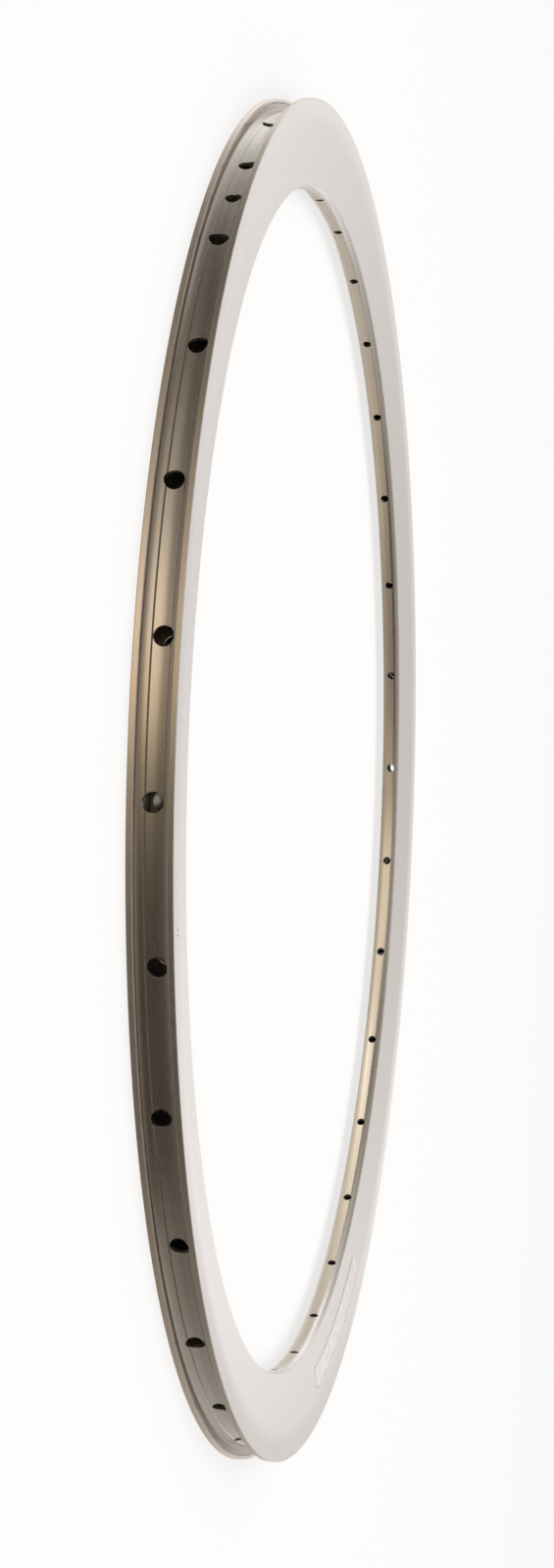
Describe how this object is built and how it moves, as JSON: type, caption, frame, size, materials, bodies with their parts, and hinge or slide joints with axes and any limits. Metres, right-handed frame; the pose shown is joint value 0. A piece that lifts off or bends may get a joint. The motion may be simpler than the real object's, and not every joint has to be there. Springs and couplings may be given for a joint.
{
  "type": "bicycle rim",
  "caption": "Silver deep V-section bicycle rim with a hollow double wall, hooked tyre channel, flat brake tracks and drilled spoke and valve holes.",
  "frame": {"origin": "centre of the wheel, on the wheel axis in the rim's middle plane", "axes": "+Z along the wheel axis, up from the brake track that the rim lies on; +X out through the valve hole"},
  "size_m": [0.6344, 0.6343, 0.018],
  "materials": {
    "anodised_aluminium": "satin silver anodised"
  },
  "bodies": {
    "root": {"rim": "anodised_aluminium"}
  },
  "joints": []
}
